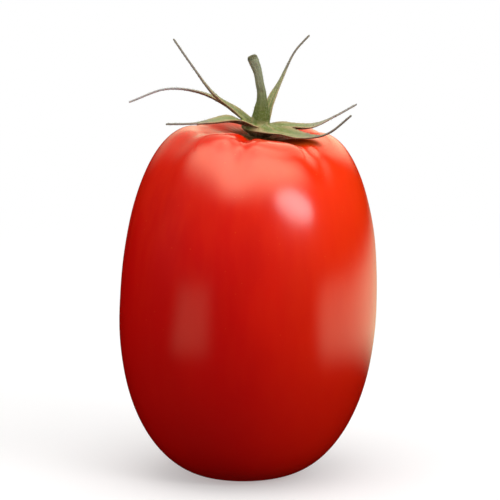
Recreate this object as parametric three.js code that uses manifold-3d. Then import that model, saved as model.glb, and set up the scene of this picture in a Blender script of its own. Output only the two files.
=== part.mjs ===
// A ripe plum tomato that stands on its blossom end, with the green calyx and the stub of stalk it was picked with.
// Millimetres, +Z up, +X to the right and -Y to the front. The origin is the middle of the flat spot it stands on.
import * as THREE from "three";
import { mergeVertices } from "three/addons/utils/BufferGeometryUtils.js";
import Module from "manifold-3d";

const wasm = await Module();
wasm.setup();

// The fruit: a barrel that is widest at half its height, with a round crest of shoulder about a shallow hollow
const FRUIT_DIAMETER = 49.6;
const FRUIT_HEIGHT = 67.5; // from the flat spot to the crest
const WIDEST_HEIGHT = 33;
const CREST_RADIUS = 12.3;
const HOLLOW_DEPTH = 1.4; // from the crest down to where the stalk is attached
const FLAT_SPOT_RADIUS = 6.5;
const FLANK_POWER = 2.15; // 2 would make each flank a quarter of an ellipse
const LEAN = 2.2; // how far the crest stands to the right of the flat spot
const SHOULDER_SLOPE = Math.tan(THREE.MathUtils.degToRad(3.6)); // the shoulder is higher on the left

// The cross-section isn't quite round: share of the radius, number of bulges, and where the first one is
const BULGES = [
  { share: 0.012, count: 2, azimuth: 30 },
  { share: 0.008, count: 3, azimuth: 100 },
];

// The creases between the fruit's chambers, which run from the hollow over the shoulder and fade out. Width is in
// degrees, and length goes from the crest down the flank.
const CREASES = [
  { azimuth: 24, depth: 0.75, width: 10, length: 26 },
  { azimuth: 75, depth: 0.75, width: 9, length: 26 },
  { azimuth: 150, depth: 0.6, width: 11, length: 24 },
  { azimuth: 213, depth: 0.6, width: 12, length: 28 },
  { azimuth: 258, depth: 1, width: 8, length: 14 },
  { azimuth: 314, depth: 0.85, width: 8, length: 15 },
];

// The lobes at the front left and on the right stand a little higher than the rest of the crest
const LOBES = [
  { azimuth: 241, rise: 1.2, width: 36, length: 15 },
  { azimuth: 0, rise: 0.4, width: 30, length: 18 },
];

// Creases and lobes fade out between these shares of the way from the crest to the middle of the hollow
const FADE_IN_HOLLOW = [0.3, 0.85];

const FRUIT_SIDES = 72;
const FLAT_ROWS = 2;
const LOWER_ROWS = 13;
const UPPER_ROWS = 18;
const HOLLOW_ROWS = 7;

// The calyx: a small disc on a neck in the hollow, with six narrow leaves. Its heights are above the crest.
const CALYX_OFFSET = 0.7; // the stalk stands this far to the right of the middle of the hollow
const CALYX_GAP = 0.55; // between the middle of the hollow and the neck above it, so that the solids stay apart
const NECK_RADIUS = 2.2;
const NECK_TOP = -0.5;
const NECK_ROUNDING = 0.15;
const DISC_RADIUS = 3.7;
const DISC_TILT = THREE.MathUtils.degToRad(6); // down to the right, as the shoulder is
const DISC_UNDERSIDE = 0.3;
const DISC_TOP = 1.6;
const DISC_ROUNDING = 0.3; // how far its edge is rounded above and below
const DISC_CROWN = 0.2; // rise of its middle
const DISC_SIDES = 30;

// The stalk: bent back to the left, flared where it joins the disc and swollen where it snapped off the truss
const STALK_LINE = [
  [0, 0, 1],
  [0.2, 0, 3.9],
  [0.35, 0, 6.6],
  [0, 0, 9.3],
  [-0.55, 0, 12],
  [-1.65, 0, 14.8],
];
const STALK_RADIUS = 0.88;
const STALK_FLARE = 1.1; // added to the radius at the disc
const FLARE_END = 0.6; // share of the stalk's length
const FLARE_POWER = 1.6; // above 1 the flare narrows faster near the disc
const KNUCKLE = 0.2; // added to the radius at the broken end
const KNUCKLE_SPAN = [0.75, 0.94]; // shares of the length over which the knuckle swells
const END_ROUNDING = 0.82; // the broken end's share of the radius
const STALK_SIDES = 15;
const STALK_STEPS = 16;

// The calyx's leaves. Azimuth is where a leaf starts, swing how far it turns on its way out, reach how far from the
// stalk its tip is, and rise its height above the crest at even steps from root to tip.
const LEAF_ROOT = 1.6;
const LEAVES = [
  { azimuth: 20, swing: 0, reach: 20, width: 5.2, twist: 20, rise: [0.9, 0.45, 0.35, 2, 4.1] },
  { azimuth: 69, swing: -28, reach: 12.7, width: 2.3, twist: 0, rise: [1.1, 5, 9, 14.1, 17.4] },
  { azimuth: 130, swing: 28, reach: 27.4, width: 2.6, twist: 25, rise: [1.2, 3.9, 6.2, 6.5, 3.9] },
  { azimuth: 165, swing: 0, reach: 17.2, width: 3.6, twist: 20, rise: [1.3, 4.1, 7.1, 12, 17.3] },
  { azimuth: 212, swing: 0, reach: 21, width: 5.2, twist: -20, rise: [1.4, 2.8, 2.9, 3.1, 3.5] },
  { azimuth: 318, swing: 10, reach: 20.4, width: 5.8, twist: 32, rise: [0.7, 0.25, 0.15, 1.3, 5.1] },
];
const LEAF_THICKNESS = 0.62;
const MIDRIB = 0.25; // added below the middle of the leaf, at its root
const LEAF_TIP_WIDTH = 0.6;
const LEAF_TAPER = [0.05, 0.75]; // shares of its length over which a leaf narrows to its tip's width
const LEAF_CUP = 0.28; // rise of the leaf's edges, as a share of its half width
const FLAT_ROOT = 0.25; // share of the leaf over which it goes from flat to cupped
const LEAF_STEPS = 16;
const LEAF_LANES = 4; // strips across a leaf

const degrees = THREE.MathUtils.degToRad;
const smooth = THREE.MathUtils.smoothstep;

// The fruit's outline from the middle of the flat spot (0) over the flat spot's edge (1), the widest level (2)
// and the crest (3) to the middle of the hollow (4), as radius and height.
function outline(step) {
  if (step <= 1) return { r: FLAT_SPOT_RADIUS * step, z: 0 };
  if (step <= 2) {
    const turn = ((step - 1) * Math.PI) / 2;
    return {
      r: FLAT_SPOT_RADIUS + (FRUIT_DIAMETER / 2 - FLAT_SPOT_RADIUS) * Math.sin(turn),
      z: WIDEST_HEIGHT * (1 - Math.cos(turn) ** (2 / FLANK_POWER)),
    };
  }
  if (step <= 3) {
    const turn = ((3 - step) * Math.PI) / 2;
    return {
      r: CREST_RADIUS + (FRUIT_DIAMETER / 2 - CREST_RADIUS) * Math.sin(turn),
      z: WIDEST_HEIGHT + (FRUIT_HEIGHT - WIDEST_HEIGHT) * Math.cos(turn) ** (2 / FLANK_POWER),
    };
  }
  const inward = step - 3;
  return {
    r: CREST_RADIUS * (1 - inward),
    z: FRUIT_HEIGHT - (HOLLOW_DEPTH * (1 - Math.cos(Math.PI * inward))) / 2,
  };
}

// A bell-shaped share of 1 at an azimuth, which falls off to both sides of it.
function near(azimuth, middle, width) {
  const away = ((azimuth - middle + 540) % 360) - 180;
  return Math.exp(-((away / width) ** 2));
}

// How deep the creases are at a place, in millimetres.
function creaseDepth(step, z, azimuth) {
  let total = 0;
  for (const { azimuth: middle, depth, width, length } of CREASES) {
    const down = smooth(z, FRUIT_HEIGHT - length, FRUIT_HEIGHT) ** 2;
    const along = step <= 3 ? down : 1 - smooth(step - 3, ...FADE_IN_HOLLOW);
    total += along * depth * near(azimuth, middle, width);
  }
  return total;
}

// How much higher the lobes make a place.
function lobeRise(step, z, azimuth) {
  let total = 0;
  for (const { azimuth: middle, rise, width, length } of LOBES) {
    const down = smooth(z, FRUIT_HEIGHT - length, FRUIT_HEIGHT);
    const along = step <= 3 ? down : 1 - smooth(step - 3, ...FADE_IN_HOLLOW);
    total += along * rise * near(azimuth, middle, width);
  }
  return total;
}

// A point on the fruit's skin. The creases sink it along the outline's normal, and the lobes lift it.
function skinPoint(step, azimuth) {
  const here = outline(step);
  const before = outline(Math.max(step - 0.001, 0));
  const after = outline(Math.min(step + 0.001, 4));
  const run = Math.hypot(after.r - before.r, after.z - before.z);
  const depth = creaseDepth(step, here.z, azimuth);
  let r = here.r - (depth * (after.z - before.z)) / run;
  let z = here.z + (depth * (after.r - before.r)) / run + lobeRise(step, here.z, azimuth);
  for (const bulge of BULGES) {
    r *= 1 + bulge.share * Math.cos(bulge.count * degrees(azimuth - bulge.azimuth));
  }
  const x = r * Math.cos(degrees(azimuth));
  const y = r * Math.sin(degrees(azimuth));
  z -= SHOULDER_SLOPE * x * smooth(here.z, FRUIT_HEIGHT / 2, FRUIT_HEIGHT);
  return new THREE.Vector3(x + LEAN * (here.z / FRUIT_HEIGHT) ** 2, y, z);
}

// A closed geometry from rings of points that run anticlockwise seen from the last ring, each end closed by a fan.
function closedRings(rings, first, last) {
  const sides = rings[0].length;
  const points = [...rings.flat(), first, last];
  const faces = [];
  for (let row = 0; row + 1 < rings.length; row++) {
    for (let side = 0; side < sides; side++) {
      const a = row * sides + side;
      const b = row * sides + ((side + 1) % sides);
      faces.push(a, b, b + sides, a, b + sides, a + sides);
    }
  }
  const lastRow = (rings.length - 1) * sides;
  for (let side = 0; side < sides; side++) {
    const next = (side + 1) % sides;
    faces.push(points.length - 2, next, side);
    faces.push(points.length - 1, lastRow + side, lastRow + next);
  }
  return new THREE.BufferGeometry().setFromPoints(points).setIndex(faces);
}

function fruitGeometry() {
  const steps = [];
  for (let i = 1; i < FLAT_ROWS; i++) steps.push(i / FLAT_ROWS);
  for (let i = 0; i < LOWER_ROWS; i++) steps.push(1 + i / LOWER_ROWS);
  for (let i = 0; i < UPPER_ROWS; i++) steps.push(2 + i / UPPER_ROWS);
  for (let i = 0; i < HOLLOW_ROWS; i++) steps.push(3 + i / HOLLOW_ROWS);
  const rings = steps.map((step) =>
    Array.from({ length: FRUIT_SIDES }, (_, side) => skinPoint(step, (360 * side) / FRUIT_SIDES)),
  );
  return closedRings(rings, skinPoint(0, 0), skinPoint(4, 0));
}

// The neck and disc of the calyx, turned about the stalk's axis.
function discGeometry() {
  const neckEnd = CALYX_GAP - HOLLOW_DEPTH;
  const shoulderRadius = DISC_RADIUS * 0.85;
  const profile = [
    [0, neckEnd],
    [NECK_RADIUS, neckEnd + NECK_ROUNDING],
    [NECK_RADIUS, NECK_TOP],
    [shoulderRadius, DISC_UNDERSIDE - DISC_ROUNDING],
    [DISC_RADIUS, DISC_UNDERSIDE + DISC_ROUNDING],
    [shoulderRadius, DISC_TOP - DISC_ROUNDING],
    [DISC_RADIUS / 2, DISC_TOP],
    [0, DISC_TOP + DISC_CROWN],
  ];
  const geometry = new THREE.LatheGeometry(profile.map(([r, z]) => new THREE.Vector2(r, z)), DISC_SIDES);
  return geometry.rotateX(Math.PI / 2).rotateY(DISC_TILT);
}

function stalkGeometry() {
  const line = new THREE.CatmullRomCurve3(STALK_LINE.map((p) => new THREE.Vector3(...p)), false, "catmullrom");
  const rings = [];
  for (let i = 0; i <= STALK_STEPS; i++) {
    const t = i / STALK_STEPS;
    const middle = line.getPoint(t);
    const along = line.getTangent(t);
    const across = new THREE.Vector3(0, 1, 0).cross(along).normalize();
    const back = along.clone().cross(across);
    const flare = STALK_FLARE * (1 - smooth(t, 0, FLARE_END)) ** FLARE_POWER;
    const girth = STALK_RADIUS + flare + KNUCKLE * smooth(t, ...KNUCKLE_SPAN);
    const radius = i < STALK_STEPS ? girth : girth * END_ROUNDING;
    rings.push(
      Array.from({ length: STALK_SIDES }, (_, side) => {
        const turn = (2 * Math.PI * side) / STALK_SIDES;
        return middle
          .clone()
          .addScaledVector(across, radius * Math.cos(turn))
          .addScaledVector(back, radius * Math.sin(turn));
      }),
    );
  }
  return closedRings(rings, line.getPoint(0), line.getPoint(1));
}

// The line that a leaf's middle follows, from its root in the disc to its tip.
function leafLine(leaf) {
  const last = leaf.rise.length - 1;
  const points = leaf.rise.map((height, i) => {
    const azimuth = degrees(leaf.azimuth + (leaf.swing * i) / last);
    const radius = LEAF_ROOT + ((leaf.reach - LEAF_ROOT) * i) / last;
    return new THREE.Vector3(radius * Math.cos(azimuth), radius * Math.sin(azimuth), height);
  });
  return new THREE.CatmullRomCurve3(points, false, "catmullrom");
}

// One narrow pointed leaf, slightly cupped, with a midrib below.
function leafGeometry(leaf) {
  const line = leafLine(leaf);
  const top = [];
  const bottom = [];
  for (let i = 0; i <= LEAF_STEPS; i++) {
    const t = i / LEAF_STEPS;
    const middle = line.getPoint(t);
    const along = line.getTangent(t);
    const azimuth = Math.atan2(middle.y, middle.x);
    const level = new THREE.Vector3(-Math.sin(azimuth), Math.cos(azimuth), 0);
    const side = level.addScaledVector(along, -level.dot(along)).normalize();
    const roll = degrees(leaf.twist) * t;
    const across = side.clone().applyAxisAngle(along, roll);
    const up = along.clone().cross(across);
    const half = (LEAF_TIP_WIDTH + (leaf.width - LEAF_TIP_WIDTH) * (1 - smooth(t, ...LEAF_TAPER))) / 2;
    const cup = LEAF_CUP * smooth(t, 0, FLAT_ROOT);
    for (let lane = 0; lane <= LEAF_LANES; lane++) {
      const v = (2 * lane) / LEAF_LANES - 1;
      const point = middle
        .clone()
        .addScaledVector(across, v * half)
        .addScaledVector(up, cup * half * v * v);
      const under = LEAF_THICKNESS / 2 + MIDRIB * (1 - t) * (1 - v * v);
      top.push(point.clone().addScaledVector(up, LEAF_THICKNESS / 2));
      bottom.push(point.addScaledVector(up, -under));
    }
  }
  return slab(top, bottom, LEAF_STEPS + 1, LEAF_LANES + 1);
}

// A closed geometry between two grids of points, split into triangles alike on both faces.
function slab(top, bottom, rows, columns) {
  const under = top.length;
  const at = (row, column) => row * columns + column;
  const faces = [];
  for (let row = 0; row + 1 < rows; row++) {
    for (let column = 0; column + 1 < columns; column++) {
      const [a, b] = [at(row, column), at(row, column + 1)];
      const [c, d] = [at(row + 1, column), at(row + 1, column + 1)];
      faces.push(a, c, d, a, d, b);
      faces.push(under + a, under + d, under + c, under + a, under + b, under + d);
    }
  }
  const rim = [];
  for (let column = 0; column + 1 < columns; column++) rim.push(at(0, column));
  for (let row = 0; row + 1 < rows; row++) rim.push(at(row, columns - 1));
  for (let column = columns - 1; column > 0; column--) rim.push(at(rows - 1, column));
  for (let row = rows - 1; row > 0; row--) rim.push(at(row, 0));
  rim.forEach((a, i) => {
    const b = rim[(i + 1) % rim.length];
    faces.push(a, b, under + b, a, under + b, under + a);
  });
  return new THREE.BufferGeometry().setFromPoints([...top, ...bottom]).setIndex(faces);
}

// A geometry as a solid that can be joined to others.
function solidOf(geometry) {
  const bare = new THREE.BufferGeometry().setAttribute("position", geometry.getAttribute("position"));
  const merged = mergeVertices(bare.setIndex(geometry.index), 1e-4);
  const solid = new wasm.Manifold(
    new wasm.Mesh({
      numProp: 3,
      vertProperties: new Float32Array(merged.getAttribute("position").array),
      triVerts: new Uint32Array(merged.index.array),
    }),
  );
  return solid;
}

function geometryOf(solid) {
  const mesh = solid.getMesh();
  const geometry = new THREE.BufferGeometry();
  geometry.setAttribute("position", new THREE.BufferAttribute(mesh.vertProperties, 3));
  geometry.setIndex(new THREE.BufferAttribute(mesh.triVerts, 1));
  return geometry.toNonIndexed();
}

// The disc, its leaves and the stalk grew as one piece.
function calyxGeometry() {
  let solid = solidOf(discGeometry()).add(solidOf(stalkGeometry()));
  for (const leaf of LEAVES) solid = solid.add(solidOf(leafGeometry(leaf)));
  return geometryOf(solid);
}

function namedMesh(name, geometry, material) {
  geometry.computeVertexNormals();
  const mesh = new THREE.Mesh(geometry, material);
  mesh.name = name;
  return mesh;
}

const skin = new THREE.MeshStandardMaterial({ color: 0xd81e08, roughness: 0.28, metalness: 0 });
const green = new THREE.MeshStandardMaterial({ color: 0x7d8a58, roughness: 0.75, metalness: 0 });

const calyx = namedMesh("calyx_and_stalk", calyxGeometry(), green);
calyx.position.set(LEAN + CALYX_OFFSET, 0, FRUIT_HEIGHT);

const tomato = new THREE.Group();
tomato.add(namedMesh("fruit", fruitGeometry(), skin), calyx);

export default tomato;
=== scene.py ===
# A ripe plum tomato that stands on its blossom end, with its calyx and the stub of stalk it was picked
# with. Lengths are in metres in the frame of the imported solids: +Z up, +X to the right, -Y to the front.
import math
import random

import bpy
import numpy as np
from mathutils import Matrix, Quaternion, Vector, kdtree, noise


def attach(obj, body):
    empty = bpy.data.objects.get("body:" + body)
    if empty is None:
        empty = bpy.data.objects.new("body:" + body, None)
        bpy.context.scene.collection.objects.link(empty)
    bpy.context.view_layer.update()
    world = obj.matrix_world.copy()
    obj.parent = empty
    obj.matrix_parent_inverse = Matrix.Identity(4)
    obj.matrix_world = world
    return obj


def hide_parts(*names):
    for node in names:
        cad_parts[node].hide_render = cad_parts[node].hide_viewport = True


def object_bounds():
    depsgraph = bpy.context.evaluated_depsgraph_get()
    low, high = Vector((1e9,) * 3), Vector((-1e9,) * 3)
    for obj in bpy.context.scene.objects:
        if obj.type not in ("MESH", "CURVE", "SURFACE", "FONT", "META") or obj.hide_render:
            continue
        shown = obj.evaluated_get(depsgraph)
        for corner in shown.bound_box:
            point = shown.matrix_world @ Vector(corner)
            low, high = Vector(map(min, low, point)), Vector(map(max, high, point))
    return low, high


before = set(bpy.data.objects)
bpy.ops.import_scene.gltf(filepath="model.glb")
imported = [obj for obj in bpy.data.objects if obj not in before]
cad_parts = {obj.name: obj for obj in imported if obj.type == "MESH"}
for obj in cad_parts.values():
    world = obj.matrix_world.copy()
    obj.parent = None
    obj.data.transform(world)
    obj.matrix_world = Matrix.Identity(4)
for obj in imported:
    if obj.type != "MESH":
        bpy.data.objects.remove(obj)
cad_low, cad_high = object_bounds()

# The fruit
# One berry in a thin tight glossy skin, deep red. Painted light makes it brighter and more orange on the
# shoulder and the right side, where the light falls most, and painted shade makes it darker towards the
# foot, round the stalk and under the calyx; its red also varies at random. It grew whole: the skin sinks in
# where the chambers inside meet and round the stalk, and it turns to cork in the hollow and where the
# blossom dropped off.
MM = 0.001
FRUIT_DIAMETER = 49.6 * MM
FRUIT_HEIGHT = 67.5 * MM
WIDEST_HEIGHT = 33 * MM
CREST_RADIUS = 12.3 * MM
HOLLOW_DEPTH = 1.4 * MM
FLAT_SPOT_RADIUS = 6.5 * MM
FLANK_POWER = 2.15
LEAN = 2.2 * MM
SHOULDER_SLOPE = math.tan(math.radians(3.6))

BULGES = [(0.012, 2, 30), (0.008, 3, 100)]  # share of the radius, number of bulges, azimuth of the first
CREASES = [  # azimuth, depth, width in degrees, length down the flank
    (24, 0.75 * MM, 10, 26 * MM),
    (75, 0.75 * MM, 9, 26 * MM),
    (150, 0.6 * MM, 11, 24 * MM),
    (213, 0.6 * MM, 12, 28 * MM),
    (258, 1.0 * MM, 8, 14 * MM),
    (314, 0.85 * MM, 8, 15 * MM),
]
LOBES = [  # azimuth, rise, width in degrees, length down the flank
    (241, 1.2 * MM, 36, 15 * MM),
    (0, 0.4 * MM, 30, 18 * MM),
]
FADE_IN_HOLLOW = (0.3, 0.85)  # steps past the crest over which creases and lobes fade out

FRUIT_SIDES = 288
FRUIT_ROWS = 210
ROW_CROWDING = 0.8  # below 1, more rows are spent on the hollow and the shoulder than on the flat spot
RIPPLE_DEPTH = 0.12 * MM  # the skin isn't quite even
RIPPLE_SIZE = 9 * MM
PLEAT_DEPTH = 0.05 * MM  # fine pleats that run down into the hollow
PLEATS = 46
PLEATS_FROM = (3.15, 3.5)  # steps on the outline over which the pleats come in, and go out
PLEATS_TO = (3.85, 3.97)
PLEAT_DRIFT = 2.3  # how unevenly they are spaced
BLOSSOM_SCAR_RADIUS = 1.5 * MM
BLOSSOM_SCAR_DEPTH = 0.3 * MM


def smooth(value, low, high):
    share = np.clip((value - low) / (high - low), 0, 1)
    return share * share * (3 - 2 * share)


def outline(step):
    """Radius and height of the fruit's outline. Step 0 is the middle of the flat spot, 1 the spot's edge,
    2 the widest level, 3 the crest of the shoulder and 4 the middle of the hollow."""
    lower = np.clip(step - 1, 0, 1) * math.pi / 2
    upper = np.clip(3 - step, 0, 1) * math.pi / 2
    inward = np.clip(step - 3, 0, 1)
    below = FLAT_SPOT_RADIUS + (FRUIT_DIAMETER / 2 - FLAT_SPOT_RADIUS) * np.sin(lower)
    above = CREST_RADIUS + (FRUIT_DIAMETER / 2 - CREST_RADIUS) * np.sin(upper)
    radius = np.select(
        [step <= 1, step <= 2, step <= 3],
        [FLAT_SPOT_RADIUS * step, below, above],
        CREST_RADIUS * (1 - inward),
    )
    height = np.select(
        [step <= 1, step <= 2, step <= 3],
        [
            0 * step,
            WIDEST_HEIGHT * (1 - np.cos(lower) ** (2 / FLANK_POWER)),
            WIDEST_HEIGHT + (FRUIT_HEIGHT - WIDEST_HEIGHT) * np.cos(upper) ** (2 / FLANK_POWER),
        ],
        FRUIT_HEIGHT - HOLLOW_DEPTH * (1 - np.cos(math.pi * inward)) / 2,
    )
    return radius, height


def near(azimuth, middle, width):
    away = (azimuth - middle + 540) % 360 - 180
    return np.exp(-((away / width) ** 2))


def over_shoulder(step, height, length, power):
    """1 at the crest of the shoulder, fading out over a length down the flank and in the hollow."""
    on_flank = smooth(height, FRUIT_HEIGHT - length, FRUIT_HEIGHT) ** power
    in_hollow = 1 - smooth(step - 3, *FADE_IN_HOLLOW)
    return np.where(step <= 3, on_flank, in_hollow)


def skin_points(step, azimuth):
    """Points on the fruit's skin, for a column of steps and a row of azimuths in degrees."""
    radius, height = outline(step)
    radius_before, height_before = outline(np.maximum(step - 0.001, 0))
    radius_after, height_after = outline(np.minimum(step + 0.001, 4))
    run = np.hypot(radius_after - radius_before, height_after - height_before)
    out = (height_after - height_before) / run
    up = (radius_before - radius_after) / run

    sink = 0
    for middle, depth, width, length in CREASES:
        sink = sink + over_shoulder(step, height, length, 2) * depth * near(azimuth, middle, width)
    rise = 0
    for middle, lobe_rise, width, length in LOBES:
        rise = rise + over_shoulder(step, height, length, 1) * lobe_rise * near(azimuth, middle, width)

    turn = np.radians(azimuth)
    pleated = smooth(step, *PLEATS_FROM) * (1 - smooth(step, *PLEATS_TO))
    pleat = np.sin(PLEATS * turn + PLEAT_DRIFT * np.sin(5 * turn))
    sink = sink + PLEAT_DEPTH * pleated * (0.5 + 0.5 * pleat)

    radius = radius - sink * out
    scar = BLOSSOM_SCAR_DEPTH * (1 - smooth(radius, 0, BLOSSOM_SCAR_RADIUS)) * (step < 1)
    level = height - sink * up + rise + scar
    for share, count, first in BULGES:
        radius = radius * (1 + share * np.cos(count * np.radians(azimuth - first)))
    x = radius * np.cos(turn)
    y = radius * np.sin(turn)
    z = level - SHOULDER_SLOPE * x * smooth(height, FRUIT_HEIGHT / 2, FRUIT_HEIGHT)
    return np.stack([x + LEAN * (height / FRUIT_HEIGHT) ** 2, y, z], axis=-1)


def closed_rings(rings, first, last):
    """Points and faces of a closed shell: rings that run anticlockwise seen from the last, and two ends."""
    rows, sides = rings.shape[:2]
    points = [tuple(p) for p in rings.reshape(-1, 3)] + [tuple(first), tuple(last)]
    faces = []
    for row in range(rows - 1):
        for side in range(sides):
            a = row * sides + side
            b = row * sides + (side + 1) % sides
            faces.append((a, b, b + sides, a + sides))
    for side in range(sides):
        following = (side + 1) % sides
        faces.append((rows * sides, following, side))
        faces.append((rows * sides + 1, (rows - 1) * sides + side, (rows - 1) * sides + following))
    return points, faces


def mesh_object(name, points, faces):
    mesh = bpy.data.meshes.new(name)
    mesh.from_pydata(points, [], faces)
    mesh.shade_smooth()
    made = bpy.data.objects.new(name, mesh)
    bpy.context.scene.collection.objects.link(made)
    return made


def store(mesh, name, values):
    """Keeps one number for each point of a mesh, for its material to read."""
    mesh.attributes.new(name, "FLOAT", "POINT").data.foreach_set("value", np.asarray(values, np.float32))


row_steps = 4 * np.linspace(0, 1, FRUIT_ROWS + 2)[1:-1] ** ROW_CROWDING
side_azimuths = np.arange(FRUIT_SIDES) * 360 / FRUIT_SIDES
skin_rings = skin_points(row_steps[:, None], side_azimuths[None, :])
skin_ends = skin_points(np.array([[0.0], [4.0]]), np.array([[0.0]]))
fruit_points, fruit_faces = closed_rings(skin_rings, skin_ends[0, 0], skin_ends[1, 0])
fruit = mesh_object("fruit_skin", fruit_points, fruit_faces)
point_steps = np.append(np.repeat(row_steps, FRUIT_SIDES), [0, 4])
store(fruit.data, "step", point_steps)

# The ripple fades out at the flat spot and at the middle of the hollow
skin_normals = [vertex.normal.copy() for vertex in fruit.data.vertices]
for vertex, normal, step in zip(fruit.data.vertices, skin_normals, point_steps):
    ripple = 0.5 + 0.5 * noise.noise(vertex.co / RIPPLE_SIZE)
    ripple_share = min(max(step - 1, 0), 1) * (1 if step < 3.5 else 2 * (4 - step))
    vertex.co -= normal * RIPPLE_DEPTH * ripple * ripple_share


def new_group(name, inputs, outputs):
    """An empty shader node group with number inputs (name: default) and number outputs."""
    group = bpy.data.node_groups.new(name, "ShaderNodeTree")
    for socket, value in inputs.items():
        made = group.interface.new_socket(socket, in_out="INPUT", socket_type="NodeSocketFloat")
        made.default_value = value
    for socket in outputs:
        group.interface.new_socket(socket, in_out="OUTPUT", socket_type="NodeSocketFloat")
    return group


def put(tree, kind, settings=None, **links):
    """Adds a node. Settings are its own properties. Each link sets or connects the input of that name, or
    of that number where the name is i0, i1 or i2."""
    node = tree.nodes.new(kind)
    for key, value in (settings or {}).items():
        setattr(node, key, value)
    for key, value in links.items():
        by_number = key[0] == "i" and key[1:].isdigit()
        socket = node.inputs[int(key[1:]) if by_number else key.replace("_", " ")]
        if isinstance(value, bpy.types.NodeSocket):
            tree.links.new(value, socket)
        else:
            socket.default_value = value
    return node


def calc(tree, operation, first, second=0.0, clamp=False):
    settings = {"operation": operation, "use_clamp": clamp}
    return put(tree, "ShaderNodeMath", settings, i0=first, i1=second).outputs[0]


def times(tree, first, second):
    return calc(tree, "MULTIPLY", first, second)


def plus(tree, first, second):
    return calc(tree, "ADD", first, second)


def larger(tree, first, second):
    return calc(tree, "MAXIMUM", first, second)


def ramped(tree, value, low, high, to_low=0.0, to_high=1.0):
    """A value mapped smoothly from the range low..high to the range to_low..to_high."""
    node = put(tree, "ShaderNodeMapRange", {"interpolation_type": "SMOOTHSTEP"}, Value=value)
    for key, number in (("From Min", low), ("From Max", high), ("To Min", to_low), ("To Max", to_high)):
        node.inputs[key].default_value = number
    return node.outputs[0]


def blended(tree, share, first, second):
    """Two colours mixed by a share. A colour is a socket or red, green and blue."""
    node = put(tree, "ShaderNodeMix", {"data_type": "RGBA"})
    for socket, value in zip((node.inputs[0], node.inputs[6], node.inputs[7]), (share, first, second)):
        if isinstance(value, bpy.types.NodeSocket):
            tree.links.new(value, socket)
        else:
            socket.default_value = value if isinstance(value, float) else (*value, 1)
    return node.outputs[2]


def tinted(tree, mask, strength, colour, tint):
    """A colour that turns to a tint where a mask is 1, as far as the strength says."""
    return blended(tree, times(tree, mask, strength), colour, tint)


def stored(tree, name):
    return put(tree, "ShaderNodeAttribute", {"attribute_name": name}).outputs["Fac"]


def object_place(tree):
    return put(tree, "ShaderNodeTexCoord").outputs["Object"]


# Mottle: soft uneven patches from 0 to 1, drawn out upwards by Stretch
mottle = new_group("mottle", {"Size": 5 * MM, "Stretch": 1, "Detail": 3}, ["Patches"])
mottle_in = put(mottle, "NodeGroupInput")
mottle_place = object_place(mottle)
mottle_squeeze = put(mottle, "ShaderNodeCombineXYZ", X=1.0, Y=1.0)
mottle.links.new(calc(mottle, "DIVIDE", 1.0, mottle_in.outputs["Stretch"]), mottle_squeeze.inputs["Z"])
mottle_spread = put(
    mottle, "ShaderNodeVectorMath", {"operation": "MULTIPLY"}, i0=mottle_place, i1=mottle_squeeze.outputs[0]
)
mottle_noise = put(
    mottle, "ShaderNodeTexNoise", Vector=mottle_spread.outputs[0], Detail=mottle_in.outputs["Detail"]
)
mottle.links.new(calc(mottle, "DIVIDE", 1.0, mottle_in.outputs["Size"]), mottle_noise.inputs["Scale"])
put(mottle, "NodeGroupOutput", Patches=ramped(mottle, mottle_noise.outputs["Fac"], 0.3, 0.7))

# Specks: small round spots scattered over a surface, 1 at the middle of a spot and 0 between them
specks = new_group("specks", {"Spacing": 1.5 * MM, "Share": 0.2}, ["Spots"])
specks_in = put(specks, "NodeGroupInput")
specks_cells = put(specks, "ShaderNodeTexVoronoi", Vector=object_place(specks))
specks.links.new(calc(specks, "DIVIDE", 1.0, specks_in.outputs["Spacing"]), specks_cells.inputs["Scale"])
specks_size = put(specks, "ShaderNodeSeparateColor", Color=specks_cells.outputs["Color"]).outputs[0]
specks_reach = larger(specks, times(specks, specks_in.outputs["Share"], specks_size), 0.001)
specks_share = calc(specks, "DIVIDE", specks_cells.outputs["Distance"], specks_reach)
put(specks, "NodeGroupOutput", Spots=ramped(specks, specks_share, 1.0, 0.4))


def grouped(tree, group, **inputs):
    return put(tree, "ShaderNodeGroup", {"node_tree": group}, **inputs).outputs[0]


def new_material(name):
    material = bpy.data.materials.new(name)
    material.use_nodes = True
    return material, material.node_tree, material.node_tree.nodes["Principled BSDF"]


# The reds are partly the skin's own and partly painted light: DEEP_RED for the shaded left, BRIGHT_RED and
# ORANGE_RED for the lit middle and right
DEEP_RED = (0.58, 0.0015, 0.0002)
BRIGHT_RED = (0.73, 0.004, 0.0003)
ORANGE_RED = (0.87, 0.036, 0.0008)
PAINTED_SHADE_RED = (0.4, 0.001, 0.0002)
PALE_SPOT = (0.86, 0.16, 0.03)
# painted shade, round the stalk and under the calyx
PAINTED_SHADE_BROWN = (0.17, 0.03, 0.004)
CORK = (0.36, 0.2, 0.08)
CORK_DARK = (0.12, 0.06, 0.025)
LIT_SIDE_PAINTED = (-6 * MM, 24 * MM)  # painted light: where the skin is painted brighter and more orange, from left to right, as the light falls from the right
PAINTED_LIGHT_SHOULDER = (40 * MM, 68 * MM)  # heights over which painted light makes it more orange, as the light from above falls most on the shoulder
PAINTED_SHADE_FOOT = (60 * MM, 12 * MM)  # heights over which painted shade makes it darker towards the foot
ROUND_STALK = (3.28, 3.62)  # steps on the outline over which painted shade turns it dark brown, in the hollow round the stalk
STALK_CORK = (3.72, 3.79)  # steps over which it turns to cork
BLOSSOM_CORK = (0.34, 0.2)
DULL_CREST = (3.0, 3.2)  # steps over which it loses gloss
SKIN_ROUGHNESS = (0.3, 0.38)
SKIN_COAT = 0.9

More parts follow.
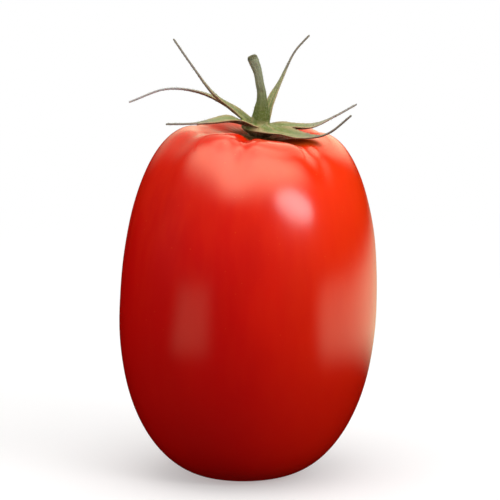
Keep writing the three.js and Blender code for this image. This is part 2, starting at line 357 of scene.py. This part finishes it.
skin, tree, shader = new_material("tomato_skin")
step_here = stored(tree, "step")
near_calyx = stored(tree, "near_calyx")
skin_xyz = put(tree, "ShaderNodeSeparateXYZ", Vector=object_place(tree))
broad = grouped(tree, mottle, Size=16 * MM, Stretch=1.6, Detail=2.0)
streaks = grouped(tree, mottle, Size=2.2 * MM, Stretch=5.0, Detail=3.0)
spots = grouped(tree, specks, Spacing=1.7 * MM, Share=0.12)
cork_grain = grouped(tree, mottle, Size=0.6 * MM, Detail=4.0)

# Painted light: the right side and the shoulder, where the light falls most, are painted brighter and more
# orange
painted_lit_side = ramped(tree, skin_xyz.outputs["X"], *LIT_SIDE_PAINTED)
shoulder = ramped(tree, skin_xyz.outputs["Z"], *PAINTED_LIGHT_SHOULDER)
# Painted shade: darker towards the foot, where less light reaches
foot = ramped(tree, skin_xyz.outputs["Z"], *PAINTED_SHADE_FOOT)
round_stalk = ramped(tree, step_here, *ROUND_STALK)
stalk_cork = ramped(tree, plus(tree, step_here, times(tree, cork_grain, 0.06)), *STALK_CORK)
blossom_cork = ramped(tree, plus(tree, step_here, times(tree, cork_grain, 0.08)), *BLOSSOM_CORK)
cork = larger(tree, stalk_cork, blossom_cork)

# Random patches of ripeness together with the painted lit side, which turns the red from its shaded to its
# lit copy
ripeness_and_lit_side = plus(tree, times(tree, broad, 0.45), times(tree, painted_lit_side, 0.6))
orange_share = plus(tree, times(tree, painted_lit_side, 0.66), times(tree, shoulder, 0.24))
streak_share = times(tree, calc(tree, "SUBTRACT", streaks, 0.5), 0.1)
orange_share = calc(tree, "ADD", orange_share, streak_share, clamp=True)
colour = blended(tree, ramped(tree, ripeness_and_lit_side, 0.1, 0.9), DEEP_RED, BRIGHT_RED)
colour = blended(tree, orange_share, colour, ORANGE_RED)
colour = tinted(tree, spots, 0.22, colour, PALE_SPOT)
# Painted shade towards the foot
colour = tinted(tree, foot, 0.75, colour, PAINTED_SHADE_RED)
# Painted shade: dark brown in the hollow round the stalk and where the calyx lies close over the skin
colour = tinted(tree, round_stalk, 0.85, colour, PAINTED_SHADE_BROWN)
colour = tinted(tree, near_calyx, 0.85, colour, PAINTED_SHADE_BROWN)
colour = blended(tree, cork, colour, blended(tree, cork_grain, CORK_DARK, CORK))
tree.links.new(colour, shader.inputs["Base Color"])

uneven_gloss = grouped(tree, mottle, Size=4 * MM, Detail=3.0)
roughness = plus(tree, ramped(tree, uneven_gloss, 0.0, 1.0, *SKIN_ROUGHNESS), times(tree, cork, 0.5))
tree.links.new(roughness, shader.inputs["Roughness"])
dull = larger(tree, cork, times(tree, round_stalk, 0.9))
dull = larger(tree, dull, ramped(tree, step_here, *DULL_CREST, 0.0, 0.55))
dull = larger(tree, dull, near_calyx)
coat = calc(tree, "SUBTRACT", SKIN_COAT, times(tree, dull, SKIN_COAT))
tree.links.new(coat, shader.inputs["Coat Weight"])

skin_grain = grouped(tree, mottle, Size=0.7 * MM, Detail=2.0)
relief = plus(tree, times(tree, skin_grain, 0.05), times(tree, spots, 0.25))
relief = plus(tree, relief, times(tree, times(tree, cork_grain, cork), 3.0))
bump = put(tree, "ShaderNodeBump", Height=relief, Strength=0.6, Distance=0.05 * MM)
tree.links.new(bump.outputs[0], shader.inputs["Normal"])
shader.inputs["Subsurface Weight"].default_value = 0.18
shader.inputs["Subsurface Radius"].default_value = (1.0, 0.22, 0.1)
shader.inputs["Subsurface Scale"].default_value = 2.5 * MM
shader.inputs["Coat Roughness"].default_value = 0.2
shader.inputs["IOR"].default_value = 1.43
shader.inputs["Specular IOR Level"].default_value = 0.0
fruit.data.materials.append(skin)

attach(fruit, "root")
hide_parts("fruit")

# The calyx and the stalk
# The green star that held the flower: a small disc on a neck in the fruit's hollow, six narrow leaves with
# a midrib, and the stalk, which snapped at its knuckle when the fruit was picked. They grew as one piece,
# green and softly hairy, and the leaves have begun to dry at their edges and ends.
CALYX_MIDDLE = np.array([LEAN + 0.7 * MM, 0, FRUIT_HEIGHT])
CALYX_GAP = 0.55 * MM
NECK_RADIUS = 2.2 * MM
DISC_RADIUS = 3.7 * MM
DISC_TILT = math.radians(6)
DISC_UNDERSIDE = 0.3 * MM
DISC_TOP = 1.6 * MM
DISC_EDGE = 0.3 * MM  # how much the disc's and the neck's edges are rounded
DISC_SIDES = 72

# Points on the stalk's middle line, as x and z in millimetres
STALK_LINE = [(0, 1), (0.2, 3.9), (0.35, 6.6), (0, 9.3), (-0.55, 12), (-1.65, 14.8)]
STALK_RADIUS = 0.88 * MM
STALK_FLARE = 1.1 * MM
FLARE_END = 0.6  # share of the stalk's length, as in the three ranges below
FLARE_POWER = 1.6
KNUCKLE = 0.2 * MM
KNUCKLE_SWELLS = (0.75, 0.94)
END_ROUNDED = (0.95, 1.01)
STALK_RIBS = 7
RIB_HEIGHT = 0.07 * MM
RIBS_FADE = (0.85, 0.97)
STALK_BUMPS = 0.08 * MM
BROKEN_DISH = 0.25 * MM
STALK_STEPS = 90
STALK_SIDES = 40

# Azimuth of a leaf's root, how far it swings round, reach, root width, twist, and heights at even steps
LEAVES = [
    (20, 0, 20, 5.2, 20, (0.9, 0.45, 0.35, 2, 4.1)),
    (69, -28, 12.7, 2.3, 0, (1.1, 5, 9, 14.1, 17.4)),
    (130, 28, 27.4, 2.6, 25, (1.2, 3.9, 6.2, 6.5, 3.9)),
    (165, 0, 17.2, 3.6, 20, (1.3, 4.1, 7.1, 12, 17.3)),
    (212, 0, 21, 5.2, -20, (1.4, 2.8, 2.9, 3.1, 3.5)),
    (318, 10, 20.4, 5.8, 32, (0.7, 0.25, 0.15, 1.3, 5.1)),
]
LEAF_DRIED = (0.45, 0.1, 0.9, 0.25, 0.25, 0.2)  # how far each leaf's outer half has dried to grey
LEAF_ROOT = 1.6 * MM
LEAF_TIP_WIDTH = 0.38 * MM
TAPER = (0.05, 0.75)  # share of the leaf's length over which it narrows
TIP_ROUNDED = (0.96, 1.02)  # share of the length over which its end closes
LEAF_THICKNESS = 0.42 * MM
LEAF_EDGE = 0.24 * MM
MIDRIB = 0.32 * MM
MIDRIB_SHARE = 0.22  # of the leaf's half width
MIDRIB_GROOVE = 0.35  # depth of the groove above it, as a share of the midrib
LEAF_CUP = 0.28  # how far the edges turn up, as a share of the half width
LEAF_WAVER = 0.16  # of the half width
FLAT_ROOT = 0.25  # share of the length over which the cup comes in
LEAF_STEPS = 120
LEAF_LANES = 16
GUIDE_STEPS = 60
GUIDE_START = 4  # the first steps of a leaf lie inside the disc
CALYX_SHADE = (0.8 * MM, 2.4 * MM)  # painted shade: the fruit's skin is painted dark brown nearer to the calyx than this
SHADED_FROM = 2.8  # step on the outline from which the skin can lie near the calyx
GROWN_TOGETHER = 0.12 * MM  # grid size at which the parts are merged into one skin


def curve_through(points, steps):
    """Even steps along a smooth line through the points, as positions and unit directions."""
    points = np.asarray(points, float)
    extended = np.vstack([2 * points[0] - points[1], points, 2 * points[-1] - points[-2]])
    slopes = (extended[2:] - extended[:-2]) / 2
    place = np.linspace(0, len(points) - 1, steps + 1)
    span = np.minimum(place.astype(int), len(points) - 2)
    t = (place - span)[:, None]
    line = (
        (2 * t**3 - 3 * t**2 + 1) * points[span]
        + (t**3 - 2 * t**2 + t) * slopes[span]
        + (3 * t**2 - 2 * t**3) * points[span + 1]
        + (t**3 - t**2) * slopes[span + 1]
    )
    along = np.gradient(line, axis=0)
    return line, along / np.linalg.norm(along, axis=1, keepdims=True)


def leaf_frame(leaf, steps):
    """Middle line of a leaf with its directions along, across and up, and its half width at each step."""
    azimuth, swing, reach, width, twist, rises = leaf
    share = np.linspace(0, 1, len(rises))
    turn = np.radians(azimuth + swing * share)
    radius = LEAF_ROOT + (reach * MM - LEAF_ROOT) * share
    points = np.stack([radius * np.cos(turn), radius * np.sin(turn), np.array(rises) * MM], axis=-1)
    line, along = curve_through(points, steps)
    bearing = np.arctan2(line[:, 1], line[:, 0])
    level = np.stack([-np.sin(bearing), np.cos(bearing), 0 * bearing], axis=-1)
    side = level - along * (level * along).sum(axis=1, keepdims=True)
    side /= np.linalg.norm(side, axis=1, keepdims=True)
    t = np.linspace(0, 1, steps + 1)
    roll = np.radians(twist * t)[:, None]
    across = side * np.cos(roll) + np.cross(along, side) * np.sin(roll)
    taper = 1 - smooth(t, *TAPER)
    half_width = (LEAF_TIP_WIDTH + (width * MM - LEAF_TIP_WIDTH) * taper) / 2
    half_width *= np.sqrt(1 - smooth(t, *TIP_ROUNDED) * 0.9)
    return line, along, across, np.cross(along, across), half_width


def leaf_shell(leaf, seed):
    """A thin cupped leaf with a midrib below, and edges that waver a little."""
    line, along, across, up, half_width = leaf_frame(leaf, LEAF_STEPS)
    t = np.linspace(0, 1, LEAF_STEPS + 1)[:, None]
    lanes = np.linspace(-1, 1, LEAF_LANES + 1)[None, :]
    drift = [[noise.noise((seed, side, 5 * step)) for side in (-3, 3)] for step in t[:, 0]]
    waver = np.array(drift) * LEAF_WAVER
    from_root = np.minimum(1, 4 * t)
    from_tip = np.minimum(1, 4 * (1 - t))
    edge = 1 + np.where(lanes < 0, waver[:, :1], waver[:, 1:]) * (lanes**2) * from_root * from_tip
    cup = LEAF_CUP * smooth(t, 0, FLAT_ROOT)
    lift = half_width[:, None] * (cup * lanes**2 + 0.5 * waver[:, 1:] * lanes)
    spread = across[:, None] * (half_width[:, None] * lanes * edge)[..., None]
    middle = line[:, None] + spread + up[:, None] * lift[..., None]
    thickness = LEAF_EDGE + (LEAF_THICKNESS - LEAF_EDGE) * (1 - lanes**2) * np.ones_like(t)
    rib = MIDRIB * (1 - 0.8 * t) * np.exp(-((lanes / MIDRIB_SHARE) ** 2))
    groove = MIDRIB_GROOVE * rib
    top = middle + up[:, None] * (thickness / 2 - groove)[..., None]
    bottom = middle - up[:, None] * (thickness / 2 + rib)[..., None]
    rings = np.concatenate([bottom, top[:, ::-1]], axis=1)
    return closed_rings(rings, line[0] - along[0] * 0.1 * MM, line[-1] + along[-1] * 0.15 * MM)


def disc_shell():
    """The neck and disc, turned about the stalk's axis and tilted with the shoulder."""
    corners = [
        (NECK_RADIUS * 0.85, CALYX_GAP - HOLLOW_DEPTH),
        (NECK_RADIUS, CALYX_GAP - HOLLOW_DEPTH + DISC_EDGE),
        (NECK_RADIUS, -0.5 * MM),
        (DISC_RADIUS * 0.85, DISC_UNDERSIDE - DISC_EDGE),
        (DISC_RADIUS, DISC_UNDERSIDE + DISC_EDGE),
        (DISC_RADIUS * 0.85, DISC_TOP - DISC_EDGE),
        (DISC_RADIUS * 0.5, DISC_TOP),
    ]
    turn = np.arange(DISC_SIDES) * 2 * math.pi / DISC_SIDES
    rings = np.array([[(r * math.cos(a), r * math.sin(a), z) for a in turn] for r, z in corners])
    first = np.array([0, 0, corners[0][1]])
    last = np.array([0, 0, DISC_TOP + 0.2 * MM])
    cosine = math.cos(DISC_TILT)
    sine = math.sin(DISC_TILT)
    tilt = np.array([[cosine, 0, sine], [0, 1, 0], [-sine, 0, cosine]])
    return closed_rings(rings @ tilt.T, tilt @ first, tilt @ last)


stalk_line, stalk_along = curve_through([(x * MM, 0, z * MM) for x, z in STALK_LINE], STALK_STEPS)


def stalk_shell():
    """The stalk: flared into the disc, ribbed, and swollen at its knuckle, which broke with a dished end."""
    t = np.linspace(0, 1, len(stalk_line))
    flare = STALK_FLARE * (1 - smooth(t, 0, FLARE_END)) ** FLARE_POWER
    radius = STALK_RADIUS + flare + KNUCKLE * smooth(t, *KNUCKLE_SWELLS)
    radius = radius * np.sqrt(1 - 0.55 * smooth(t, *END_ROUNDED) ** 2)
    turn = np.arange(STALK_SIDES) * 2 * math.pi / STALK_SIDES
    below_knuckle = (1 - smooth(t, *RIBS_FADE))[:, None]
    ribs = RIB_HEIGHT * np.cos(STALK_RIBS * turn[None, :] + 2 * t[:, None]) * below_knuckle
    bumps = [[noise.noise((1.3 * math.cos(a), 1.3 * math.sin(a), 9 * s)) for a in turn] for s in t]
    girth = radius[:, None] + ribs - RIB_HEIGHT + STALK_BUMPS * np.array(bumps)
    across = np.cross(np.array([0, 1.0, 0]), stalk_along)
    across /= np.linalg.norm(across, axis=1, keepdims=True)
    behind = np.cross(stalk_along, across)
    sideways = across[:, None] * (girth * np.cos(turn))[..., None]
    backwards = behind[:, None] * (girth * np.sin(turn))[..., None]
    rings = stalk_line[:, None] + sideways + backwards
    return closed_rings(rings, stalk_line[0], stalk_line[-1] - stalk_along[-1] * BROKEN_DISH)


def apply_modifiers(made):
    """Keeps the mesh as its modifiers leave it."""
    shaped = made.evaluated_get(bpy.context.evaluated_depsgraph_get())
    mesh = bpy.data.meshes.new_from_object(shaped)
    made.modifiers.clear()
    made.data = mesh
    mesh.shade_smooth()


shells = [disc_shell(), stalk_shell()] + [leaf_shell(leaf, seed) for seed, leaf in enumerate(LEAVES)]
calyx_points = []
calyx_faces = []
for points, faces in shells:
    start = len(calyx_points)
    calyx_points += [tuple(np.array(p) + CALYX_MIDDLE) for p in points]
    calyx_faces += [tuple(start + corner for corner in face) for face in faces]
calyx = mesh_object("calyx_and_stalk_green", calyx_points, calyx_faces)
merge = calyx.modifiers.new("grown together", "REMESH")
merge.mode = "VOXEL"
merge.voxel_size = GROWN_TOGETHER
even = calyx.modifiers.new("even", "SMOOTH")
even.iterations = 3
apply_modifiers(calyx)

# Each point of the calyx keeps how far along its leaf it is, how far across, and how far up the stalk
guide = []  # place, share along the leaf, direction across, half width, share up the stalk, how far dried
for leaf, dried in zip(LEAVES, LEAF_DRIED):
    line, _, across, _, half_width = leaf_frame(leaf, GUIDE_STEPS)
    for i in range(GUIDE_START, GUIDE_STEPS + 1):
        guide.append((line[i] + CALYX_MIDDLE, i / GUIDE_STEPS, across[i], half_width[i], 0.0, dried))
for i, (point, direction) in enumerate(zip(stalk_line, stalk_along)):
    guide.append((point + CALYX_MIDDLE, 0.0, direction, 1.0, i / STALK_STEPS, 0.0))
nearest = kdtree.KDTree(len(guide))
for index, entry in enumerate(guide):
    nearest.insert(entry[0], index)
nearest.balance()
places = []
for vertex in calyx.data.vertices:
    _, index, _ = nearest.find(vertex.co)
    point, leaf_share, across, half_width, stalk_share, dried = guide[index]
    offset = 0.0
    if stalk_share == 0:
        offset = float(np.dot(np.array(vertex.co) - point, across)) / half_width
    places.append((leaf_share, offset, stalk_share, dried))
for column, name in enumerate(("along_leaf", "across_leaf", "up_stalk", "dried")):
    store(calyx.data, name, [place[column] for place in places])

# The fruit's skin keeps how near the calyx lies above it, as painted shade darkens it there and its coat is
# dulled
over_skin = kdtree.KDTree(len(calyx.data.vertices))
for index, vertex in enumerate(calyx.data.vertices):
    over_skin.insert(vertex.co, index)
over_skin.balance()
nearness = [
    1 - smooth(over_skin.find(vertex.co)[2], *CALYX_SHADE) if step > SHADED_FROM else 0
    for vertex, step in zip(fruit.data.vertices, point_steps)
]
store(fruit.data, "near_calyx", nearness)

FRESH_GREEN = (0.13, 0.165, 0.03)
GREY_GREEN = (0.24, 0.265, 0.13)
PALE_EDGE = (0.45, 0.33, 0.18)
DRY_BROWN = (0.16, 0.135, 0.115)
DRY_GREY = (0.42, 0.4, 0.39)
# painted shade for the surfaces of the leaves that face down
UNDERSIDE = (0.05, 0.035, 0.012)
STALK_GREEN = (0.075, 0.1, 0.014)
STALK_GREY = (0.235, 0.25, 0.165)
BROKEN_END = (0.09, 0.085, 0.045)
GREEN_ROUGHNESS = (0.55, 0.75)
VEINS = 14.0
# Shares of a leaf's length, of its half width or of the stalk's length over which each colour comes in
LESS_FRESH = (0.05, 0.5)
DRY_END = (0.4, 0.8)
SHRIVELLED_END = (0.35, 0.75)
EDGE_BAND = (0.45, 1.0)
MIDRIB_BAND = (0.2, 0.05)
STALK_FADES = (0.18, 0.78)
STALK_BREAK = (0.93, 0.99)
STALK_START = (0.02, 0.12)

green, tree, shader = new_material("calyx_green")
along_leaf = stored(tree, "along_leaf")
across_leaf = calc(tree, "ABSOLUTE", stored(tree, "across_leaf"))
up_stalk = stored(tree, "up_stalk")
patches = grouped(tree, mottle, Size=1.1 * MM, Detail=4.0)
fine = grouped(tree, mottle, Size=0.35 * MM, Detail=3.0)
edge = ramped(tree, across_leaf, *EDGE_BAND)
midrib = ramped(tree, across_leaf, *MIDRIB_BAND)
uneven_edge = times(tree, calc(tree, "SUBTRACT", patches, 0.5), 0.35)
dryness = ramped(tree, plus(tree, along_leaf, uneven_edge), *DRY_END)
shrivelled = times(tree, ramped(tree, along_leaf, *SHRIVELLED_END), stored(tree, "dried"))
normal_xyz = put(tree, "ShaderNodeSeparateXYZ", Vector=put(tree, "ShaderNodeNewGeometry").outputs["Normal"])
still_green = calc(tree, "SUBTRACT", 1.0, shrivelled)
# Painted shade: where a leaf's surface faces down, away from the light
below = times(tree, ramped(tree, normal_xyz.outputs["Z"], -0.15, -0.8), still_green)

leaf_colour = tinted(tree, patches, 0.6, FRESH_GREEN, GREY_GREEN)
leaf_colour = blended(tree, ramped(tree, along_leaf, *LESS_FRESH), leaf_colour, GREY_GREEN)
leaf_colour = tinted(tree, edge, 0.75, leaf_colour, PALE_EDGE)
leaf_colour = tinted(tree, midrib, 0.45, leaf_colour, PALE_EDGE)
leaf_colour = tinted(tree, dryness, 0.8, leaf_colour, DRY_BROWN)
leaf_colour = blended(tree, shrivelled, leaf_colour, DRY_GREY)
# Painted shade on the leaves' undersides
leaf_colour = tinted(tree, below, 0.8, leaf_colour, UNDERSIDE)
stalk_colour = blended(tree, ramped(tree, up_stalk, *STALK_FADES), STALK_GREEN, STALK_GREY)
stalk_colour = tinted(tree, fine, 0.3, stalk_colour, GREY_GREEN)
stalk_colour = blended(tree, ramped(tree, up_stalk, *STALK_BREAK), stalk_colour, BROKEN_END)
on_stalk = ramped(tree, up_stalk, *STALK_START)
tree.links.new(blended(tree, on_stalk, leaf_colour, stalk_colour), shader.inputs["Base Color"])
tree.links.new(ramped(tree, fine, 0.0, 1.0, *GREEN_ROUGHNESS), shader.inputs["Roughness"])
veins = calc(tree, "SINE", times(tree, across_leaf, VEINS))
relief = plus(tree, times(tree, veins, 0.25), fine)
bump = put(tree, "ShaderNodeBump", Height=relief, Strength=0.7, Distance=0.06 * MM)
tree.links.new(bump.outputs[0], shader.inputs["Normal"])
shader.inputs["Subsurface Weight"].default_value = 0.1
shader.inputs["Subsurface Radius"].default_value = (0.5, 0.6, 0.2)
shader.inputs["Subsurface Scale"].default_value = 0.4 * MM
shader.inputs["Specular IOR Level"].default_value = 0.15
calyx.data.materials.append(green)

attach(calyx, "root")
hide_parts("calyx_and_stalk")

# The hairs of the calyx and the stalk
# Short clear hairs that grow all over the green skin. Each is a pointed three-sided spike, sunk a little
# into the skin that it grew from. None hangs far below the leaves, into the gap over the fruit.
HAIRS = 3400
HAIR_LENGTH = (0.15 * MM, 0.45 * MM)
HAIR_RADIUS = 0.02 * MM
HAIR_SUNK = 0.03 * MM
HAIR_LEAN = 0.35
HAIRLESS_BELOW = 0.5 * MM  # under the crest's level, but for the neck
HAIR_COLOUR = (0.5, 0.53, 0.36)
HAIR_MARGIN = 0.1 * MM  # kept between a hair's end and the box of the solids

draw = random.Random(7)
calyx.data.calc_loop_triangles()
triangles = calyx.data.loop_triangles
chosen = draw.choices(range(len(triangles)), weights=[t.area for t in triangles], k=HAIRS)
hair_points = []
hair_faces = []
for index in chosen:
    corners = [calyx.data.vertices[v].co for v in triangles[index].vertices]
    u, v = sorted((draw.random(), draw.random()))
    root = corners[0] * u + corners[1] * (v - u) + corners[2] * (1 - v)
    lean = Vector([draw.gauss(0, HAIR_LEAN) for _ in range(3)])
    pointing = (triangles[index].normal + lean).normalized()
    end = root + pointing * draw.uniform(*HAIR_LENGTH)
    inside = all(low + HAIR_MARGIN < e < high - HAIR_MARGIN for low, e, high in zip(cad_low, end, cad_high))
    past_the_neck = (end - Vector(CALYX_MIDDLE)).xy.length > NECK_RADIUS * 1.6
    hangs_low = end.z < FRUIT_HEIGHT - HAIRLESS_BELOW and past_the_neck
    if not inside or hangs_low:
        continue
    sideways = pointing.orthogonal().normalized()
    squarely = pointing.cross(sideways)
    start = len(hair_points)
    for corner in range(3):
        angle = corner * 2 * math.pi / 3
        turned = sideways * math.cos(angle) + squarely * math.sin(angle)
        hair_points.append(root - pointing * HAIR_SUNK + turned * HAIR_RADIUS)
    hair_points.append(end)
    hair_faces.append((start, start + 2, start + 1))
    hair_faces += [(start + i, start + (i + 1) % 3, start + 3) for i in range(3)]
hairs = mesh_object("calyx_hairs", hair_points, hair_faces)

hair_material, tree, shader = new_material("plant_hair")
hair_tint = grouped(tree, mottle, Size=2 * MM, Detail=2.0)
tree.links.new(blended(tree, hair_tint, GREY_GREEN, HAIR_COLOUR), shader.inputs["Base Color"])
shader.inputs["Roughness"].default_value = 0.5
hairs.data.materials.append(hair_material)

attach(hairs, "root")

# The floor
# A plain pale table top, white to the eye. What it throws back on the tomato is grey, with a weak glow
# hidden under the foot. In the tomato's gloss it is dark but for two soft slices: a bright one on the right
# and a weak narrow one at the front left. It can be looked through from below.
FLOOR_SIZE = 6
FLOOR_DROP = 0.05 * MM
FLOOR_WHITE = (0.86, 0.86, 0.86, 1)
FLOOR_THROWN_BACK = (0.22, 0.22, 0.22, 1)
WHITE_FROM = (40 * MM, 260 * MM)  # distance over which its shading fades into the white
WHITE_SHARES = (0.35, 1.0)
FLOOR_GLOSS = (1, 0.95, 0.62, 1)
# Azimuths over which a slice fades in and out, distances over which it fades in and out, and its brightness
BRIGHT_SLICES = [
    ((-35, -21), (115, 15), (65 * MM, 125 * MM), (520 * MM, 150 * MM), 2.1),
    ((-158, -142), (-111, -125), (85 * MM, 150 * MM), (1500 * MM, 600 * MM), 0.8),
]
UNDER_THE_FOOT = (16 * MM, 9 * MM)  # distance over which the hidden glow comes in
FOOT_GLOW = 0.3


def mixed_shaders(tree, share, first, second):
    """One shader where the share is 0 and the other where it is 1."""
    return put(tree, "ShaderNodeMixShader", i0=share, i1=first, i2=second).outputs[0]


floor_signs = [(-1, -1), (1, -1), (1, 1), (-1, 1)]
floor_corners = [(x * FLOOR_SIZE / 2, y * FLOOR_SIZE / 2, -FLOOR_DROP) for x, y in floor_signs]
floor = mesh_object("floor", floor_corners, [(0, 1, 2, 3)])
floor_material, tree, shader = new_material("floor_white")
shader.inputs["Base Color"].default_value = FLOOR_WHITE
shader.inputs["Roughness"].default_value = 0.9
shader.inputs["Specular IOR Level"].default_value = 0.1
floor_rays = put(tree, "ShaderNodeLightPath").outputs
floor_place = object_place(tree)
far_off = put(tree, "ShaderNodeVectorMath", {"operation": "LENGTH"}, i0=floor_place).outputs["Value"]
floor_xyz = put(tree, "ShaderNodeSeparateXYZ", Vector=floor_place).outputs
floor_azimuth = calc(tree, "DEGREES", calc(tree, "ARCTAN2", floor_xyz["Y"], floor_xyz["X"]))
slices = 0.0
for side_in, side_out, distance_in, distance_out, strength in BRIGHT_SLICES:
    sides = times(tree, ramped(tree, floor_azimuth, *side_in), ramped(tree, floor_azimuth, *side_out))
    far_end = ramped(tree, far_off, *distance_out, 0.0, strength)
    ends = times(tree, ramped(tree, far_off, *distance_in), far_end)
    slices = larger(tree, slices, times(tree, sides, ends))
grey = put(tree, "ShaderNodeBsdfDiffuse", Color=FLOOR_THROWN_BACK).outputs[0]
glow = put(tree, "ShaderNodeEmission", Color=(1, 1, 1, 1), Strength=FOOT_GLOW).outputs[0]
white = put(tree, "ShaderNodeEmission", Color=(1, 1, 1, 1)).outputs[0]
in_gloss = put(tree, "ShaderNodeEmission", Color=FLOOR_GLOSS, Strength=slices).outputs[0]
thrown_back = mixed_shaders(tree, ramped(tree, far_off, *UNDER_THE_FOOT), grey, glow)
off_the_floor = mixed_shaders(tree, floor_rays["Is Glossy Ray"], thrown_back, in_gloss)
white_share = ramped(tree, far_off, *WHITE_FROM, *WHITE_SHARES)
to_the_eye = mixed_shaders(tree, white_share, shader.outputs[0], white)
from_above = mixed_shaders(tree, floor_rays["Is Camera Ray"], off_the_floor, to_the_eye)
see_through = put(tree, "ShaderNodeBsdfTransparent").outputs[0]
from_below = put(tree, "ShaderNodeNewGeometry").outputs["Backfacing"]
whole_floor = mixed_shaders(tree, from_below, from_above, see_through)
tree.links.new(whole_floor, tree.nodes["Material Output"].inputs["Surface"])
floor.data.materials.append(floor_material)

# The studio lights
# A small softbox to the right of the tomato, which shows in its gloss, and wide soft lights over it, on its
# right, on its left and overhead, which don't.
LIGHT_AIM = Vector((0, 0, 42 * MM))
# Name, shape, azimuth from the front, elevation, distance, width, height, roll, watts, seen in the gloss
LIGHTS = [
    ("softbox_above", "RECTANGLE", -6, 62, 0.9, 1.0, 0.75, 0, 0.9, False),
    ("softbox_right", "ELLIPSE", 47, 23.5, 0.9, 0.52, 0.22, -22, 3.0, True),
    ("key_right", "RECTANGLE", 68, 42, 1.3, 0.8, 0.8, 0, 2.4, False),
    ("fill_left", "RECTANGLE", -80, 15, 1.3, 0.8, 0.8, 0, 2.5, False),
    ("top", "RECTANGLE", -20, 85, 1.3, 1.0, 1.0, 0, 6.3, False),
]
for name, shape, azimuth, elevation, distance, width, height, roll, watts, in_the_gloss in LIGHTS:
    light = bpy.data.lights.new(name, "AREA")
    light.shape = shape
    light.size = width
    light.size_y = height
    light.energy = watts
    turn = math.radians(azimuth)
    rise = math.radians(elevation)
    away = Vector((math.sin(turn) * math.cos(rise), -math.cos(turn) * math.cos(rise), math.sin(rise)))
    holder = bpy.data.objects.new(name, light)
    holder.location = LIGHT_AIM + away * distance
    holder.rotation_mode = "QUATERNION"
    holder.rotation_quaternion = away.to_track_quat("Z", "Y") @ Quaternion((0, 0, 1), math.radians(roll))
    holder.visible_camera = False
    holder.visible_glossy = in_the_gloss
    bpy.context.scene.collection.objects.link(holder)

# The surround
# White to the eye. In the tomato's gloss it is dark but for a wide warm softbox in front, which runs up to
# overhead with soft edges, and the white behind, which shows weakly along the crest of the shoulder.
SURROUND_SEEN = (1, 1, 1, 1)
SURROUND_LIGHT = 0.7
GLOSS_LIGHT = (1, 0.95, 0.64, 1)
GLOSS_BRIGHTNESS = 7.4
# Bearings are from the front, to the right, and a height is the upward share of a direction
BOX_FOOT = (0.4, 0.76)  # heights over which the softbox comes in
BOX_LEFT_SIDE = (math.radians(-150), math.radians(-85))
BOX_RIGHT_SIDE = (math.radians(105), math.radians(50))
BOX_OVERHEAD = (0.8, 0.98)  # heights over which it closes all round
BOX_HIGH_UP = (0.9, 0.99, 1.0, 0.68)  # heights over which it dims, and its brightness at each
BOX_SIDES = (math.radians(-100), math.radians(20), 0.8, 1.05)  # the same for its bearings
BACKDROP_FROM = (0.88, 1.12)  # backward and upward shares together over which the white behind comes in
BACKDROP_SIDES = (-0.4, 0.3, 0.09, 0.31)  # from left to right, and its brightness at each

world = bpy.data.worlds.new("surround")
bpy.context.scene.world = world
world.use_nodes = True
tree = world.node_tree
rays = put(tree, "ShaderNodeLightPath").outputs
direction = put(tree, "ShaderNodeTexCoord").outputs["Generated"]
towards = put(tree, "ShaderNodeSeparateXYZ", Vector=direction).outputs
bearing = calc(tree, "ARCTAN2", towards["X"], times(tree, towards["Y"], -1.0))
in_front = times(tree, ramped(tree, bearing, *BOX_LEFT_SIDE), ramped(tree, bearing, *BOX_RIGHT_SIDE))
all_round = ramped(tree, towards["Z"], *BOX_OVERHEAD)
softbox = times(tree, ramped(tree, towards["Z"], *BOX_FOOT), larger(tree, in_front, all_round))
softbox = times(tree, softbox, ramped(tree, towards["Z"], *BOX_HIGH_UP))
softbox = times(tree, softbox, ramped(tree, bearing, *BOX_SIDES))
high_behind = ramped(tree, plus(tree, towards["Y"], towards["Z"]), *BACKDROP_FROM)
backdrop = times(tree, high_behind, ramped(tree, towards["X"], *BACKDROP_SIDES))
gloss_strength = times(tree, larger(tree, softbox, backdrop), GLOSS_BRIGHTNESS)
surround_gloss = put(tree, "ShaderNodeBackground", Color=GLOSS_LIGHT, Strength=gloss_strength).outputs[0]
surround_light = put(tree, "ShaderNodeBackground", Color=SURROUND_SEEN, Strength=SURROUND_LIGHT).outputs[0]
surround_seen = put(tree, "ShaderNodeBackground", Color=SURROUND_SEEN, Strength=1.0).outputs[0]
thrown = mixed_shaders(tree, rays["Is Glossy Ray"], surround_light, surround_gloss)
surround = mixed_shaders(tree, rays["Is Camera Ray"], thrown, surround_seen)
tree.links.new(surround, tree.nodes["World Output"].inputs["Surface"])

# The camera
# It stands as the photograph's did, about 0.8 m away and a little above the tomato, and takes in the tomato
# alone.
CAMERA_DISTANCE = 0.8
CAMERA_ELEVATION = math.radians(12.5)
CAMERA_TARGET = Vector((0, 0, 40 * MM))
CAMERA_AIM = Vector((1.0 * MM, 0, 44.2 * MM))
PICTURE_HEIGHT = 96.842 * MM  # what the picture takes in at the tomato

camera = bpy.data.objects.new("camera", bpy.data.cameras.new("camera"))
bpy.context.scene.collection.objects.link(camera)
back = Vector((0, -math.cos(CAMERA_ELEVATION), math.sin(CAMERA_ELEVATION)))
camera.location = CAMERA_TARGET + back * CAMERA_DISTANCE
camera.rotation_mode = "QUATERNION"
camera.rotation_quaternion = (camera.location - CAMERA_AIM).to_track_quat("Z", "Y")
camera.data.angle = 2 * math.atan(PICTURE_HEIGHT / 2 / CAMERA_DISTANCE)
bpy.context.scene.camera = camera
bpy.context.scene.view_settings.view_transform = "Standard"
bpy.context.scene.view_settings.look = "None"
